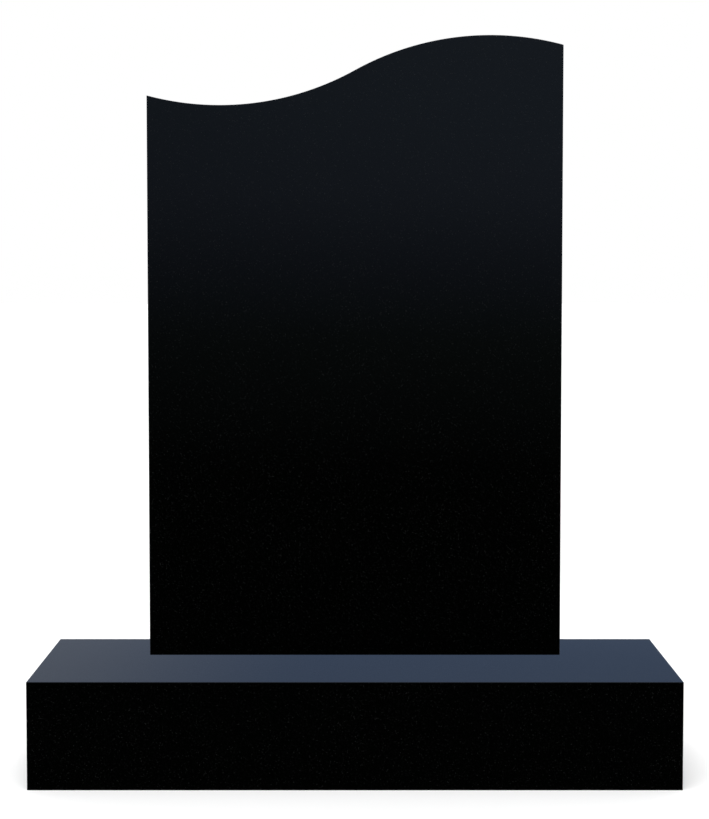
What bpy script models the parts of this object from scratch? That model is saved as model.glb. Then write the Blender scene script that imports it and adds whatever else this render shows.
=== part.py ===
"""Upright headstone: a polished black tablet with a serpentine top, standing on a wide, low base.

Lengths are in metres and +Z is up. The origin is the middle of the base's underside, +X points to the
right as a visitor sees the stone, and +Y points to its back. Run it from a text editor or in background.
"""

import math

import bpy

# Base, a plain rectangular block
BASE_WIDTH = 0.900
BASE_DEPTH = 0.250
BASE_HEIGHT = 0.150

# Tablet, the upright slab
TABLET_WIDTH = 0.600
TABLET_THICKNESS = 0.080
TABLET_HEIGHT = 0.900  # from its foot to the top of the crest
TABLET_SETBACK = 0.020  # from the back of the base to the tablet's back

# Wave along the tablet's top, with its trough on the left and its crest on the right
WAVE_DROP = 0.100  # how far the trough lies below the crest
WAVE_REACH = 0.195  # how far the trough and the crest each stand from the middle
ARC_STEPS = 28  # straight steps in each of the wave's two arcs

# Edges and the joint between the two stones
ARRIS = 0.001  # width of the small rounding along every edge
ARRIS_STEPS = 2
ARRIS_LEAST_ANGLE = math.radians(30)  # the wave's own steps are shallower, and stay as they are
JOINT_GAP = 0.0003  # under the tablet's foot
WELD_DISTANCE = 0.00001

# Finish of both stones
GRANITE_BLACK = (0.0085, 0.0098, 0.0087, 1.0)
POLISH_ROUGHNESS = 0.06


def clear_scene():
    """Remove every object, so that a second run starts clean."""
    for old in list(bpy.data.objects):
        bpy.data.objects.remove(old, do_unlink=True)


def make_collection(name):
    """Return a new collection, linked to the scene."""
    collection = bpy.data.collections.new(name)
    bpy.context.scene.collection.children.link(collection)
    return collection


def polished_granite(name):
    """Return a new material for polished black granite."""
    material = bpy.data.materials.new(name)
    material.use_nodes = True
    shader = material.node_tree.nodes["Principled BSDF"]
    shader.inputs["Base Color"].default_value = GRANITE_BLACK
    shader.inputs["Roughness"].default_value = POLISH_ROUGHNESS
    shader.inputs["Metallic"].default_value = 0.0
    return material


def tablet_material():
    return polished_granite("tablet_granite")


def base_material():
    return polished_granite("base_granite")


def arc_points(centre_x, centre_z, radius, start, end):
    """Return points on an arc, from angle start to angle end, both taken from straight up."""
    points = []
    for step in range(ARC_STEPS + 1):
        angle = start + (end - start) * step / ARC_STEPS
        points.append((centre_x + radius * math.sin(angle), centre_z + radius * math.cos(angle)))
    return points


def wave_points():
    """Return the tablet's top edge from its left corner to its right one.

    It is two arcs of one radius that meet in the middle with one slope. The right one bulges up to
    the crest, and the left one is the same arc turned half round about the meeting point.
    """
    radius = (WAVE_REACH ** 2 + (WAVE_DROP / 2) ** 2) / WAVE_DROP
    middle_height = TABLET_HEIGHT - WAVE_DROP / 2
    meeting_angle = -math.asin(WAVE_REACH / radius)
    corner_angle = math.asin((TABLET_WIDTH / 2 - WAVE_REACH) / radius)
    right = arc_points(WAVE_REACH, TABLET_HEIGHT - radius, radius, meeting_angle, corner_angle)
    left = [(-x, 2 * middle_height - z) for x, z in reversed(right)]
    return left + right[1:]


def tablet_outline():
    """Return the front outline's corners and wave, anticlockwise from the foot's left end."""
    foot = [(-TABLET_WIDTH / 2, 0.0), (TABLET_WIDTH / 2, 0.0)]
    return foot + list(reversed(wave_points()))


def round_edges(stone):
    """Round off each real edge of a stone, and leave the shallow steps of a curve alone."""
    bevel = stone.modifiers.new("arris", "BEVEL")
    bevel.width = ARRIS
    bevel.segments = ARRIS_STEPS
    bevel.limit_method = "ANGLE"
    bevel.angle_limit = ARRIS_LEAST_ANGLE


def make_base(collection):
    """Make the base as a block with its underside on the ground."""
    bpy.ops.mesh.primitive_cube_add(size=1.0, location=(0.0, 0.0, BASE_HEIGHT / 2))
    base = bpy.context.object
    base.name = "base"
    base.data.name = "base"
    base.scale = (BASE_WIDTH, BASE_DEPTH, BASE_HEIGHT)
    bpy.ops.object.transform_apply(location=False, rotation=False, scale=True)
    round_edges(base)
    base.data.materials.append(base_material())
    for holder in list(base.users_collection):
        holder.objects.unlink(base)
    collection.objects.link(base)
    return base


def make_tablet(collection, base):
    """Make the tablet from its flat outline, stood upright near the back of the base."""
    outline = bpy.data.curves.new("tablet", "CURVE")
    outline.dimensions = "2D"
    outline.fill_mode = "BOTH"
    outline.extrude = TABLET_THICKNESS / 2
    points = tablet_outline()
    spline = outline.splines.new("POLY")
    spline.points.add(len(points) - 1)
    for point, (x, z) in zip(spline.points, points):
        point.co = (x, z, 0.0, 1.0)
    spline.use_cyclic_u = True

    tablet = bpy.data.objects.new("tablet", outline)
    tablet.parent = base
    tablet.rotation_euler = (math.radians(90), 0.0, 0.0)
    back = BASE_DEPTH / 2 - TABLET_SETBACK
    tablet.location = (0.0, back - TABLET_THICKNESS / 2, BASE_HEIGHT / 2 + JOINT_GAP)
    weld = tablet.modifiers.new("join caps", "WELD")
    weld.merge_threshold = WELD_DISTANCE
    round_edges(tablet)
    outline.materials.append(tablet_material())
    collection.objects.link(tablet)
    return tablet


def build_headstone():
    clear_scene()
    headstone = make_collection("headstone")
    base = make_base(headstone)
    make_tablet(headstone, base)


build_headstone()
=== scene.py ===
"""Looks of the upright headstone: two stones of polished black granite on a pale studio floor."""

import math

import bmesh
import bpy
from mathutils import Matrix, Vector


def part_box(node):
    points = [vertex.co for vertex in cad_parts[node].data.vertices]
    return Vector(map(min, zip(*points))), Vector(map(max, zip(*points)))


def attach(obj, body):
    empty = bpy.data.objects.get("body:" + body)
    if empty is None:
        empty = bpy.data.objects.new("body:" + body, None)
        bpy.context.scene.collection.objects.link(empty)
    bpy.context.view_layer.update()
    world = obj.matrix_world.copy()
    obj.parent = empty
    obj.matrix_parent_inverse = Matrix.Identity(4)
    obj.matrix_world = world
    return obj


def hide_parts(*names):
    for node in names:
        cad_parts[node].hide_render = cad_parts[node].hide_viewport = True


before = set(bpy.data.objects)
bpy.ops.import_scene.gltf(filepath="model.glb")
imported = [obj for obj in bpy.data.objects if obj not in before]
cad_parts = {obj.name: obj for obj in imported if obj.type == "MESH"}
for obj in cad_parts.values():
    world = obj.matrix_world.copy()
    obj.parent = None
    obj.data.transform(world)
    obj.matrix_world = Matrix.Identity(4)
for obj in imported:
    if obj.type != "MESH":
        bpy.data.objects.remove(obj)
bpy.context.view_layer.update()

BODY = "root"

# Camera, from the picture's level and upright edges. The picture is cropped, so the optical axis
# meets it above its middle.
PICTURE_WIDTH = 709
PICTURE_HEIGHT = 819
AXIS_PIXEL = (354.9, 342.9)
FOCAL_PIXELS = 1558.0
EYE = Vector((0.0, -2.231, 0.714))
AIM = Vector((0.0, 0.075, 0.605))
SENSOR_MM = 36.0  # along the picture's longer side, its height

# Wave along the tablet's top, as in the solids
WAVE_DROP = 0.100  # how far the trough lies below the crest
WAVE_REACH = 0.195  # how far the trough and the crest each stand from the middle
ARC_STEPS = 90  # straight steps in each of the wave's two arcs

# Edges. Those around a stone's foot stay sharp, as the saw leaves them.
ARRIS = 0.001
ARRIS_STEPS = 4
ARRIS_LEAST_ANGLE = math.radians(30)

# Granite: crystals about a millimetre across, nearly all of them black. A linear colour stands at
# the share of the crystals that are darker.
CRYSTAL_SIZE = 0.0011
BEND_SIZE = 2 * CRYSTAL_SIZE  # of the waves that bend the crystals' borders
BEND_DETAIL = 2.0
CRYSTAL_BEND = 0.0007  # the most that a border bends, from side to side
NOISE_MIDDLE = (0.5, 0.5, 0.5)
POLISHED_CRYSTALS = (
    (0.00, (0.0046, 0.0057, 0.0047)),
    (0.60, (0.0061, 0.0075, 0.0062)),
    (0.90, (0.0100, 0.0113, 0.0103)),
    (0.97, (0.0230, 0.0245, 0.0240)),
    (1.00, (0.0900, 0.0950, 0.0950)),
)
SAWN_CRYSTALS = (
    (0.00, (0.030, 0.032, 0.033)),
    (0.60, (0.048, 0.050, 0.051)),
    (0.90, (0.070, 0.073, 0.074)),
    (1.00, (0.150, 0.155, 0.155)),
)
CLOUD_SIZE = 0.09
CLOUD_DETAIL = 3.0
CLOUD_TONE = (0.75, 1.25)
POLISHED_ROUGHNESS = (0.035, 0.085)
SAWN_ROUGHNESS = (0.55, 0.75)
POLISHED_RELIEF = 0.0000006
SAWN_RELIEF = 0.00012
GRANITE_IOR = 1.5
TABLET_CUT = (0.3, 1.7, 0.9)  # where in the rock each stone was cut
BASE_CUT = (4.1, 0.2, 2.6)

# Surround that the polish mirrors: degrees above the horizon, and linear colour
FRONT_SKY = (
    (-7.4, (0.000, 0.000, 0.000)),
    (-2.5, (0.037, 0.050, 0.052)),
    (0.0, (0.080, 0.099, 0.138)),
    (2.8, (0.137, 0.170, 0.238)),
    (6.0, (0.153, 0.200, 0.274)),
    (90.0, (0.420, 0.480, 0.580)),
)
SIDE_SKY = (
    (-60.0, (0.050, 0.062, 0.084)),
    (-25.0, (0.090, 0.112, 0.150)),
    (-4.0, (0.230, 0.275, 0.350)),
    (14.0, (0.091, 0.131, 0.217)),
    (45.0, (0.240, 0.300, 0.420)),
    (90.0, (0.420, 0.480, 0.580)),
)
FRONT_REACH = (-0.74, -0.93)  # y of a direction, where the front's sky begins and is whole
FRONT_TILT = (0.8, 0.0, 0.0)  # the front is brighter to the right
SIDE_TILT = (0.1, 0.5, 0.0)  # the rest is brighter to the back, so that the sides stand out from the front
PANELS_ROUND = 8  # tall soft panels, evenly round the stone, of which the front's sky hides one
PANEL_TURN = math.radians(5)  # the panels' turn from straight behind
PANEL_EDGE = (0.2, 1.0)  # cosine of the way from panel to panel, where one begins and is brightest
PANEL_TOP = (0.14, 0.02)  # z of a direction, where a panel begins and is whole
PANEL_FOOT = (-0.75, -0.15)
PANEL = (0.360, 0.400, 0.480)
HAZE = (0.193, 0.223, 0.287)
HAZE_LEAN = 1.6  # how much more the haze follows left than low
HAZE_EDGE = (0.22, -0.13)  # of that lean, where the haze begins and is whole
BEHIND_REACH = (-0.5, 0.5)  # y of a direction, where the back begins and is whole

# Soft white light on the stones, from the front and from behind
WHITE = (1.0, 1.0, 1.0, 1.0)
FRONT_LIGHT = 0.08
BACK_LIGHT = 0.50

# Floor, and the lamps that light it alone
FLOOR_COLOUR = (0.88, 0.88, 0.88)
FLOOR_SIZE = 60.0
CEILING_STRENGTH = 1.8
CEILING_SOFTNESS = math.radians(180)
WINDOW_STRENGTH = 2.2
WINDOW_SOFTNESS = math.radians(60)
WINDOW_FROM = Vector((-0.15, -0.75, 1.45))


def make_camera():
    """Look at the stone from the picture's place, with the picture's crop."""
    lens = bpy.data.cameras.new("camera")
    lens.sensor_width = SENSOR_MM
    lens.lens = FOCAL_PIXELS / PICTURE_HEIGHT * SENSOR_MM
    lens.shift_x = (PICTURE_WIDTH / 2 - AXIS_PIXEL[0]) / PICTURE_HEIGHT
    lens.shift_y = (AXIS_PIXEL[1] - PICTURE_HEIGHT / 2) / PICTURE_HEIGHT
    camera = bpy.data.objects.new("camera", lens)
    camera.location = EYE
    camera.rotation_euler = (AIM - EYE).to_track_quat("-Z", "Y").to_euler()
    bpy.context.collection.objects.link(camera)
    bpy.context.scene.camera = camera


def add_node(tree, kind, settings=None, values=None):
    """Add a node with some of its settings and unlinked inputs."""
    node = tree.nodes.new(kind)
    for name, value in (settings or {}).items():
        setattr(node, name, value)
    for name, value in (values or {}).items():
        node.inputs[name].default_value = value
    return node


def add_ramp(tree, stops, source):
    """Add a colour ramp that reads source, with stops given as place and linear colour."""
    ramp = add_node(tree, "ShaderNodeValToRGB")
    tree.links.new(source, ramp.inputs["Fac"])
    elements = ramp.color_ramp.elements
    while len(elements) > 1:
        elements.remove(elements[-1])
    for index, (place, colour) in enumerate(stops):
        element = elements[0] if index == 0 else elements.new(place)
        element.position = place
        element.color = (*colour, 1.0)
    return ramp.outputs["Color"]


def add_fade(tree, source, start, end, low=0.0, high=1.0):
    """Add a smooth fade from low to high, as source goes from start to end."""
    fade = add_node(tree, "ShaderNodeMapRange", {"interpolation_type": "SMOOTHSTEP"}, {
        "From Min": start, "From Max": end, "To Min": low, "To Max": high})
    tree.links.new(source, fade.inputs["Value"])
    return fade.outputs["Result"]


def granite(name, offset, crystals, roughness, relief):
    """Return granite with its own cut through the crystals, shifted by offset."""
    material = bpy.data.materials.new(name)
    material.use_nodes = True
    tree = material.node_tree
    link = tree.links.new
    shader = tree.nodes["Principled BSDF"]
    shader.inputs["IOR"].default_value = GRANITE_IOR

    place = add_node(tree, "ShaderNodeTexCoord")
    shift = add_node(tree, "ShaderNodeMapping", values={"Location": offset})
    link(place.outputs["Object"], shift.inputs["Vector"])

    # Bend the cells, so that the crystals interlock
    bend = add_node(tree, "ShaderNodeTexNoise", values={"Scale": 1 / BEND_SIZE, "Detail": BEND_DETAIL})
    link(shift.outputs["Vector"], bend.inputs["Vector"])
    centred = add_node(tree, "ShaderNodeVectorMath", {"operation": "SUBTRACT"}, {1: NOISE_MIDDLE})
    link(bend.outputs["Color"], centred.inputs[0])
    scaled = add_node(tree, "ShaderNodeVectorMath", {"operation": "SCALE"}, {"Scale": CRYSTAL_BEND})
    link(centred.outputs["Vector"], scaled.inputs[0])
    bent = add_node(tree, "ShaderNodeVectorMath", {"operation": "ADD"})
    link(shift.outputs["Vector"], bent.inputs[0])
    link(scaled.outputs["Vector"], bent.inputs[1])

    cells = add_node(tree, "ShaderNodeTexVoronoi", values={"Scale": 1 / CRYSTAL_SIZE})
    link(bent.outputs["Vector"], cells.inputs["Vector"])
    chance = add_node(tree, "ShaderNodeSeparateColor")
    link(cells.outputs["Color"], chance.inputs["Color"])

    # Faint clouding of the tone, a hand's breadth across
    cloud = add_node(tree, "ShaderNodeTexNoise", values={"Scale": 1 / CLOUD_SIZE, "Detail": CLOUD_DETAIL})
    link(shift.outputs["Vector"], cloud.inputs["Vector"])
    tone = add_node(tree, "ShaderNodeMapRange", values={"To Min": CLOUD_TONE[0], "To Max": CLOUD_TONE[1]})
    link(cloud.outputs["Fac"], tone.inputs["Value"])
    clouded = add_node(tree, "ShaderNodeVectorMath", {"operation": "SCALE"})
    link(add_ramp(tree, crystals, chance.outputs["Red"]), clouded.inputs[0])
    link(tone.outputs["Result"], clouded.inputs["Scale"])
    link(clouded.outputs["Vector"], shader.inputs["Base Color"])

    # Each crystal takes the polish a little differently
    gloss = add_node(tree, "ShaderNodeMapRange", values={"To Min": roughness[0], "To Max": roughness[1]})
    link(chance.outputs["Green"], gloss.inputs["Value"])
    link(gloss.outputs["Result"], shader.inputs["Roughness"])

    bump = add_node(tree, "ShaderNodeBump", values={"Strength": 1.0, "Distance": relief})
    link(chance.outputs["Blue"], bump.inputs["Height"])
    link(bump.outputs["Normal"], shader.inputs["Normal"])
    return material


def polished(name, offset):
    return granite(name, offset, POLISHED_CRYSTALS, POLISHED_ROUGHNESS, POLISHED_RELIEF)


def sawn(name, offset):
    return granite(name, offset, SAWN_CRYSTALS, SAWN_ROUGHNESS, SAWN_RELIEF)


def arc_points(centre_x, centre_z, radius, start, end):
    """Return points on an arc, from angle start to angle end, both taken from straight up."""
    points = []
    for step in range(ARC_STEPS + 1):
        angle = start + (end - start) * step / ARC_STEPS
        points.append((centre_x + radius * math.sin(angle), centre_z + radius * math.cos(angle)))
    return points


def wave_points(half_width, crest_z):
    """Return the top edge from left to right: two arcs, one the other turned half round."""
    radius = (WAVE_REACH ** 2 + (WAVE_DROP / 2) ** 2) / WAVE_DROP
    middle_z = crest_z - WAVE_DROP / 2
    meeting_angle = -math.asin(WAVE_REACH / radius)
    corner_angle = math.asin((half_width - WAVE_REACH) / radius)
    right = arc_points(WAVE_REACH, crest_z - radius, radius, meeting_angle, corner_angle)
    left = [(-x, 2 * middle_z - z) for x, z in reversed(right)]
    return left + right[1:]


def tablet_outline(low, high):
    foot = [(low.x, low.z), (high.x, low.z)]
    return foot + list(reversed(wave_points(high.x, high.z)))


def base_outline(low, high):
    return [(low.x, low.z), (high.x, low.z), (high.x, high.z), (low.x, high.z)]


def mark_edges(shape, foot_z):
    """Mark each real edge for an arris, but keep those around the foot sharp."""
    arris = shape.edges.layers.float.new("bevel_weight_edge")
    for edge in shape.edges:
        if edge.calc_face_angle() < ARRIS_LEAST_ANGLE:
            continue
        if max(vert.co.z for vert in edge.verts) < foot_z + ARRIS:
            edge.smooth = False
        else:
            edge[arris] = 1.0


def cut_stone(name, outline, front_y, back_y, face_finish, foot_finish):
    """Cut a stone from its front outline, round its edges and finish its faces."""
    shape = bmesh.new()
    corners = [shape.verts.new((x, front_y, z)) for x, z in outline]
    front = shape.faces.new(corners)
    grown = bmesh.ops.extrude_face_region(shape, geom=[front])
    moved = [item for item in grown["geom"] if isinstance(item, bmesh.types.BMVert)]
    bmesh.ops.translate(shape, verts=moved, vec=(0.0, back_y - front_y, 0.0))
    bmesh.ops.recalc_face_normals(shape, faces=shape.faces)
    foot_z = min(z for x, z in outline)
    for face in shape.faces:
        face.smooth = True
        face.material_index = 1 if max(vert.co.z for vert in face.verts) < foot_z + ARRIS else 0
    mark_edges(shape, foot_z)
    mesh = bpy.data.meshes.new(name)
    shape.to_mesh(mesh)
    shape.free()
    mesh.materials.append(face_finish)
    mesh.materials.append(foot_finish)

    stone = bpy.data.objects.new(name, mesh)
    bpy.context.collection.objects.link(stone)
    bevel = stone.modifiers.new("arris", "BEVEL")
    bevel.width = ARRIS
    bevel.segments = ARRIS_STEPS
    bevel.limit_method = "WEIGHT"
    bevel.harden_normals = True
    return stone


def finish_piece(stone, node):
    """Let a stone stand for its node, and mirror the studio but not its neighbour."""
    stone.visible_glossy = False
    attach(stone, BODY)
    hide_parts(node)


def make_tablet():
    low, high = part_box("tablet")
    faces = polished("polished tablet", TABLET_CUT)
    foot = sawn("sawn tablet foot", TABLET_CUT)
    stone = cut_stone("tablet_stone", tablet_outline(low, high), low.y, high.y, faces, foot)
    finish_piece(stone, "tablet")


def make_base():
    low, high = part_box("base")
    faces = polished("polished base", BASE_CUT)
    foot = sawn("sawn base underside", BASE_CUT)
    stone = cut_stone("base_stone", base_outline(low, high), low.y, high.y, faces, foot)
    finish_piece(stone, "base")


def make_floor():
    """Lay a plain pale floor, which neither shows in the polish nor lights the stones."""
    bpy.ops.mesh.primitive_plane_add(size=FLOOR_SIZE)
    floor = bpy.context.object
    floor.name = "floor"
    material = bpy.data.materials.new("pale floor")
    material.use_nodes = True
    shader = material.node_tree.nodes["Principled BSDF"]
    shader.inputs["Base Color"].default_value = (*FLOOR_COLOUR, 1.0)
    shader.inputs["Roughness"].default_value = 1.0
    shader.inputs["Specular IOR Level"].default_value = 0.0
    floor.data.materials.append(material)
    floor.visible_glossy = False
    floor.visible_diffuse = False
    return floor


def hang_lamp(name, strength, softness, comes_from, lit):
    """Hang a far, soft lamp that lights one collection alone."""
    light = bpy.data.lights.new(name, "SUN")
    light.energy = strength
    light.angle = softness
    lamp = bpy.data.objects.new(name, light)
    lamp.rotation_euler = comes_from.to_track_quat("Z", "Y").to_euler()
    lamp.light_linking.receiver_collection = lit
    bpy.context.collection.objects.link(lamp)


def make_lamps(floor):
    """Light the floor from the whole ceiling, and from a window in front, to the left."""
    lit = bpy.data.collections.new("lit by the lamps")
    lit.objects.link(floor)
    hang_lamp("ceiling light", CEILING_STRENGTH, CEILING_SOFTNESS, Vector((0.0, 0.0, 1.0)), lit)
    hang_lamp("window light", WINDOW_STRENGTH, WINDOW_SOFTNESS, WINDOW_FROM, lit)


def sky_stops(stops):
    """Turn a sky's degrees into places on a ramp that runs from straight down to straight up."""
    return [((math.sin(math.radians(degrees)) + 1) / 2, colour) for degrees, colour in stops]


def tilt_brightness(tree, colour, direction, tilt):
    """Make a colour brighter along the level vector tilt, and darker the other way."""
    along = add_node(tree, "ShaderNodeVectorMath", {"operation": "DOT_PRODUCT"}, {1: tilt})
    tree.links.new(direction, along.inputs[0])
    brightness = add_node(tree, "ShaderNodeMath", {"operation": "ADD"}, {1: 1.0})
    tree.links.new(along.outputs["Value"], brightness.inputs[0])
    tilted = add_node(tree, "ShaderNodeVectorMath", {"operation": "SCALE"})
    tree.links.new(colour, tilted.inputs[0])
    tree.links.new(brightness.outputs["Value"], tilted.inputs["Scale"])
    return tilted.outputs["Vector"]


def add_product(tree, first, second):
    """Multiply two values."""
    product = add_node(tree, "ShaderNodeMath", {"operation": "MULTIPLY"})
    tree.links.new(first, product.inputs[0])
    tree.links.new(second, product.inputs[1])
    return product.outputs["Value"]


def add_colour(tree, under, colour, amount):
    """Lay a plain colour over another by amount."""
    layer = add_node(tree, "ShaderNodeMix", {"data_type": "RGBA"})
    layer.inputs["B"].default_value = (*colour, 1.0)
    tree.links.new(under, layer.inputs["A"])
    tree.links.new(amount, layer.inputs["Factor"])
    return layer.outputs["Result"]


def panel_amount(tree, place):
    """Return how far a direction lies in one of the soft panels, which stand below the sky."""
    turn = add_node(tree, "ShaderNodeMath", {"operation": "ARCTAN2"})
    tree.links.new(place.outputs["X"], turn.inputs[0])
    tree.links.new(place.outputs["Y"], turn.inputs[1])
    step = add_node(tree, "ShaderNodeMath", {"operation": "MULTIPLY_ADD"}, {
        1: PANELS_ROUND, 2: -PANELS_ROUND * PANEL_TURN})
    tree.links.new(turn.outputs["Value"], step.inputs[0])
    wave = add_node(tree, "ShaderNodeMath", {"operation": "COSINE"})
    tree.links.new(step.outputs["Value"], wave.inputs[0])
    across = add_fade(tree, wave.outputs["Value"], *PANEL_EDGE)
    top = add_fade(tree, place.outputs["Z"], *PANEL_TOP)
    foot = add_fade(tree, place.outputs["Z"], *PANEL_FOOT)
    return add_product(tree, across, add_product(tree, top, foot))


def haze_amount(tree, place):
    """Return how far a direction lies in the haze, which is behind, to the left and low."""
    right_high = add_node(tree, "ShaderNodeMath", {"operation": "MULTIPLY_ADD"}, {1: HAZE_LEAN})
    tree.links.new(place.outputs["X"], right_high.inputs[0])
    tree.links.new(place.outputs["Z"], right_high.inputs[2])
    low_left = add_fade(tree, right_high.outputs["Value"], *HAZE_EDGE)
    return add_product(tree, low_left, add_fade(tree, place.outputs["Y"], *BEHIND_REACH))


def mirrored_surround(tree, direction, place):
    """Return the colour that the polish sees: a front dark below the horizon, and a blue-grey rest."""
    height = add_node(tree, "ShaderNodeMapRange", values={"From Min": -1.0})
    tree.links.new(place.outputs["Z"], height.inputs["Value"])
    front = add_ramp(tree, sky_stops(FRONT_SKY), height.outputs["Result"])
    rest = add_ramp(tree, sky_stops(SIDE_SKY), height.outputs["Result"])
    rest = add_colour(tree, rest, HAZE, haze_amount(tree, place))
    rest = add_colour(tree, rest, PANEL, panel_amount(tree, place))
    whole = add_node(tree, "ShaderNodeMix", {"data_type": "RGBA"})
    tree.links.new(add_fade(tree, place.outputs["Y"], *FRONT_REACH), whole.inputs["Factor"])
    tree.links.new(tilt_brightness(tree, rest, direction, SIDE_TILT), whole.inputs["A"])
    tree.links.new(tilt_brightness(tree, front, direction, FRONT_TILT), whole.inputs["B"])
    return whole.outputs["Result"]


def make_world():
    """Show white to the camera, soft white light to matt surfaces, and the surround to the polish."""
    world = bpy.data.worlds.new("studio")
    bpy.context.scene.world = world
    world.use_nodes = True
    tree = world.node_tree
    tree.nodes.clear()
    link = tree.links.new
    ray = add_node(tree, "ShaderNodeLightPath")
    direction = add_node(tree, "ShaderNodeTexCoord").outputs["Generated"]
    place = add_node(tree, "ShaderNodeSeparateXYZ")
    link(direction, place.inputs["Vector"])

    seen = add_node(tree, "ShaderNodeBackground", values={"Color": WHITE})
    light = add_node(tree, "ShaderNodeBackground", values={"Color": WHITE})
    strength = add_fade(tree, place.outputs["Y"], *BEHIND_REACH, FRONT_LIGHT, BACK_LIGHT)
    link(strength, light.inputs["Strength"])
    mirrored = add_node(tree, "ShaderNodeBackground")
    link(mirrored_surround(tree, direction, place), mirrored.inputs["Color"])
    lit = add_node(tree, "ShaderNodeMixShader")
    link(ray.outputs["Is Glossy Ray"], lit.inputs["Fac"])
    link(light.outputs["Background"], lit.inputs[1])
    link(mirrored.outputs["Background"], lit.inputs[2])
    whole = add_node(tree, "ShaderNodeMixShader")
    link(ray.outputs["Is Camera Ray"], whole.inputs["Fac"])
    link(lit.outputs["Shader"], whole.inputs[1])
    link(seen.outputs["Background"], whole.inputs[2])
    output = add_node(tree, "ShaderNodeOutputWorld")
    link(whole.outputs["Shader"], output.inputs["Surface"])


make_camera()
make_world()
make_lamps(make_floor())
make_tablet()
make_base()
bpy.context.scene.view_settings.view_transform = "Standard"
